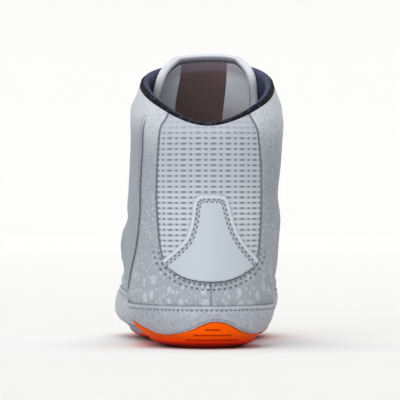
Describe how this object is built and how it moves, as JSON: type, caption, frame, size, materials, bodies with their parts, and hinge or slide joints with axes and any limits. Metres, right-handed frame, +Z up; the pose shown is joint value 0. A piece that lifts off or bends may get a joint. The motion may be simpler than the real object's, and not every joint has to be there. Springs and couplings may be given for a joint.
{
  "type": "wrestling shoe for the left foot",
  "caption": "High-top wrestling shoe for the left foot, pale grey, with a bell-shaped heel patch, dark collar lining, padded tongue, crossed lace and an orange rubber sole.",
  "frame": {"origin": "on the floor, at the middle of the flat part of the sole under the heel", "axes": "+Y from heel to toe along the shoe's length, +X to the inner (medial) side of the left foot, +Z up"},
  "size_m": [0.1022, 0.288, 0.173],
  "materials": {
    "knit": "knitted textile, matt",
    "sole_rubber": "moulded rubber, satin",
    "suede": "brushed suede, matt",
    "footbed": "woven top cloth on foam",
    "tongue_fabric": "padded textile, matt",
    "lining_fabric": "brushed lining cloth",
    "smooth_patch": "smooth synthetic leather, satin",
    "panel": "thin synthetic leather, satin",
    "eyelet": "moulded plastic ring",
    "lace_cord": "woven flat lace"
  },
  "bodies": {
    "root": {"upper": "knit", "outsole": "sole_rubber", "rand": "suede", "insole": "footbed", "tongue": "tongue_fabric", "collar_lining": "lining_fabric", "heel_patch": "smooth_patch", "side_panel": "panel", "eyestay": "panel", "eyelet_medial_1": "eyelet", "eyelet_medial_2": "eyelet", "eyelet_medial_3": "eyelet", "eyelet_medial_4": "eyelet", "eyelet_medial_5": "eyelet", "eyelet_medial_6": "eyelet", "eyelet_medial_7": "eyelet", "eyelet_lateral_1": "eyelet", "eyelet_lateral_2": "eyelet", "eyelet_lateral_3": "eyelet", "eyelet_lateral_4": "eyelet", "eyelet_lateral_5": "eyelet", "eyelet_lateral_6": "eyelet", "eyelet_lateral_7": "eyelet", "lace": "lace_cord"}
  },
  "joints": []
}
